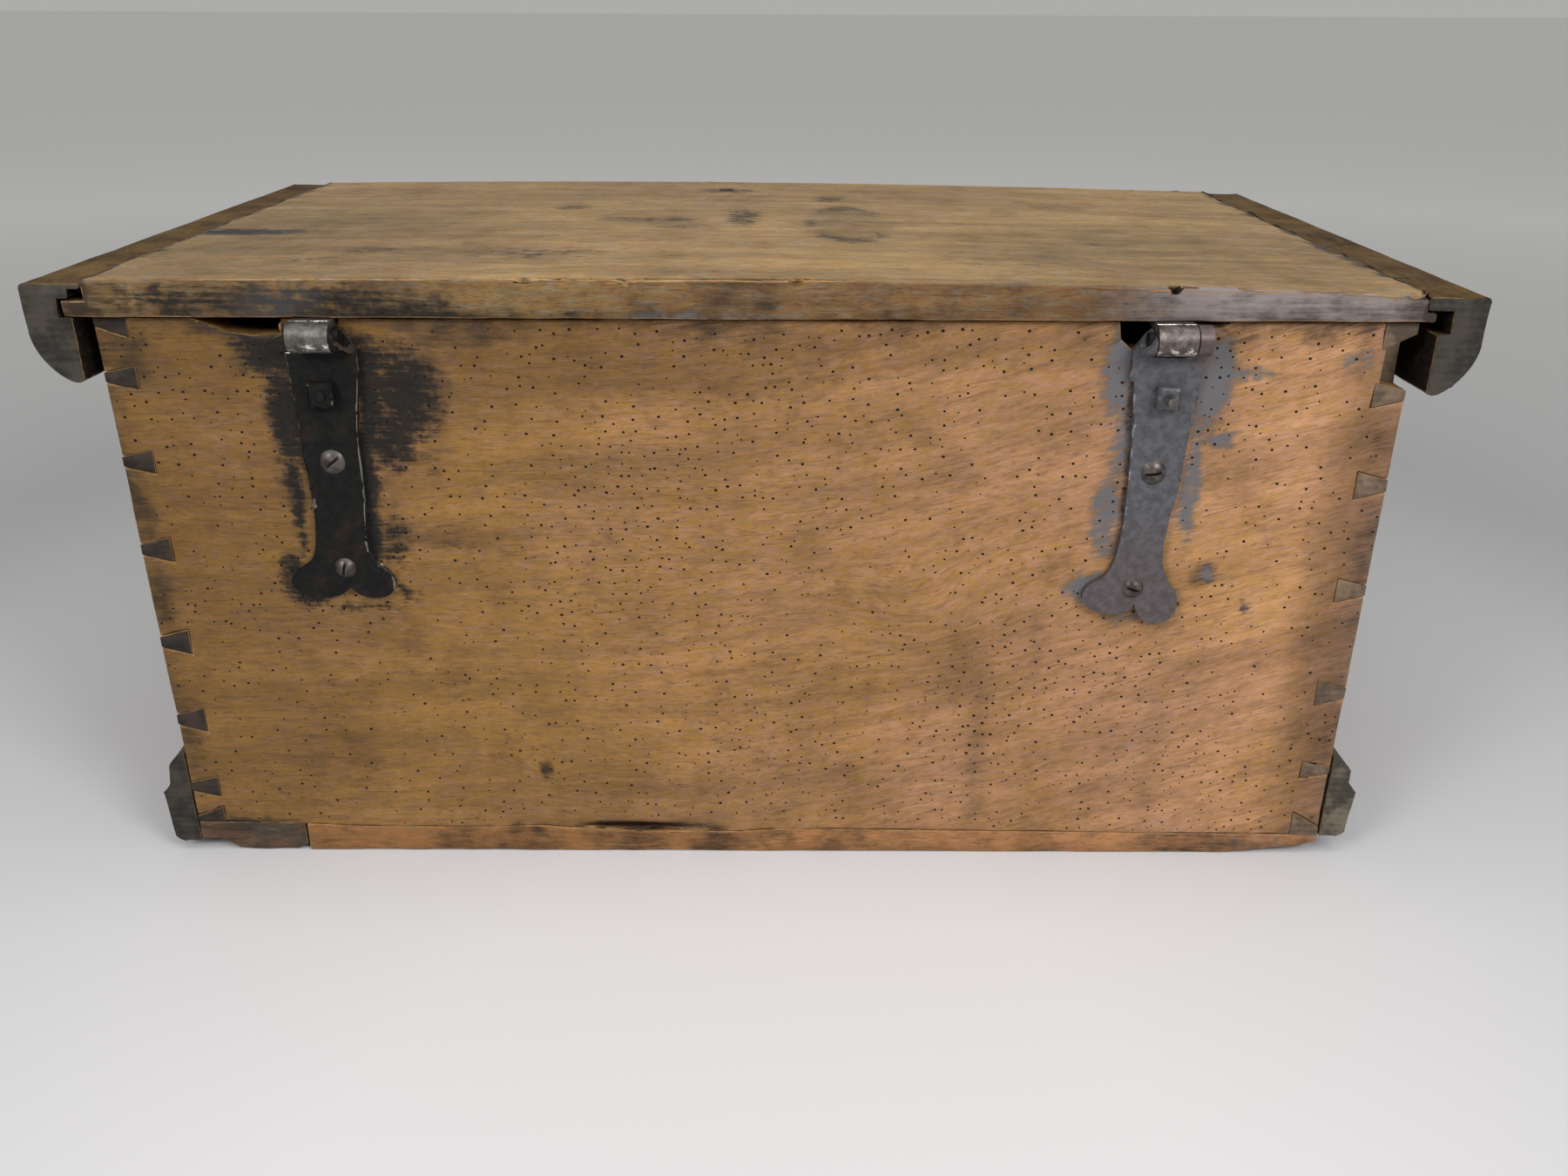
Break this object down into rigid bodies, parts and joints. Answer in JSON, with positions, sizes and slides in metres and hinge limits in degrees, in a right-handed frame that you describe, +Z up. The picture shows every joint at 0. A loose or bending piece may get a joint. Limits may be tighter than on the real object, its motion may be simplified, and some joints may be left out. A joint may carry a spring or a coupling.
{
  "type": "walnut chest",
  "caption": "Low dovetailed walnut chest with a cleated lid on fishtail strap hinges, base mouldings, a till lock inside the front and wormed, iron-stained boards.",
  "frame": {"origin": "on the floor, under the middle of the carcase", "axes": "+X to the right as seen from the front, +Y towards the back with the hinges, +Z up"},
  "size_m": [0.638, 0.358, 0.2995],
  "materials": {
    "walnut": "old waxed walnut, honey brown, worn and stained",
    "walnut_ends": "old walnut with grimy end grain",
    "dark_wood": "old dark walnut, greyed and worn",
    "black_iron": "old wrought iron, near black",
    "blued_iron": "old wrought iron, smooth blue-grey",
    "worn_iron": "old iron with bright worn places"
  },
  "bodies": {
    "carcase": {"back_board": "walnut", "front_board": "walnut", "end_board_left": "walnut_ends", "end_board_right": "walnut_ends", "bottom_board": "walnut", "bottom_edge_patch": "dark_wood", "base_moulding_front": "dark_wood", "base_moulding_left": "dark_wood", "base_moulding_right": "dark_wood", "moulding_nails": "black_iron", "bottom_nails": "black_iron", "hinge_strap_left": "blued_iron", "hinge_strap_right": "black_iron", "hinge_pin_left": "worn_iron", "hinge_pin_right": "worn_iron", "strap_screws": "worn_iron", "strap_bolt_left": "worn_iron", "strap_bolt_right": "worn_iron", "strap_nut_left": "blued_iron", "strap_nut_right": "black_iron", "lock_plate": "black_iron", "lock_case": "black_iron", "bolt_guides": "black_iron", "lock_nails": "black_iron", "keyhole_escutcheon": "black_iron", "escutcheon_pins": "black_iron"},
    "lid": {"lid_board": "walnut", "lid_cleat_left": "walnut_ends", "lid_cleat_right": "walnut_ends", "cleat_pegs": "walnut_ends", "hinge_leaf_left": "worn_iron", "hinge_leaf_right": "worn_iron", "leaf_screws": "worn_iron", "lid_staple": "worn_iron", "staple_nails": "black_iron"},
    "lock_bolt": {"lock_bolt": "worn_iron"}
  },
  "joints": [
    {"name": "lid_hinge", "type": "hinge", "parent": "carcase", "child": "lid", "pos_m": [0, 0.17133, 0.27337], "axis": [-1, 0, 0], "range_deg": [0, 175]},
    {"name": "lock_bolt_slide", "type": "slide", "parent": "carcase", "child": "lock_bolt", "axis": [-1, 0, 0], "range_m": [0, 0.009]}
  ]
}
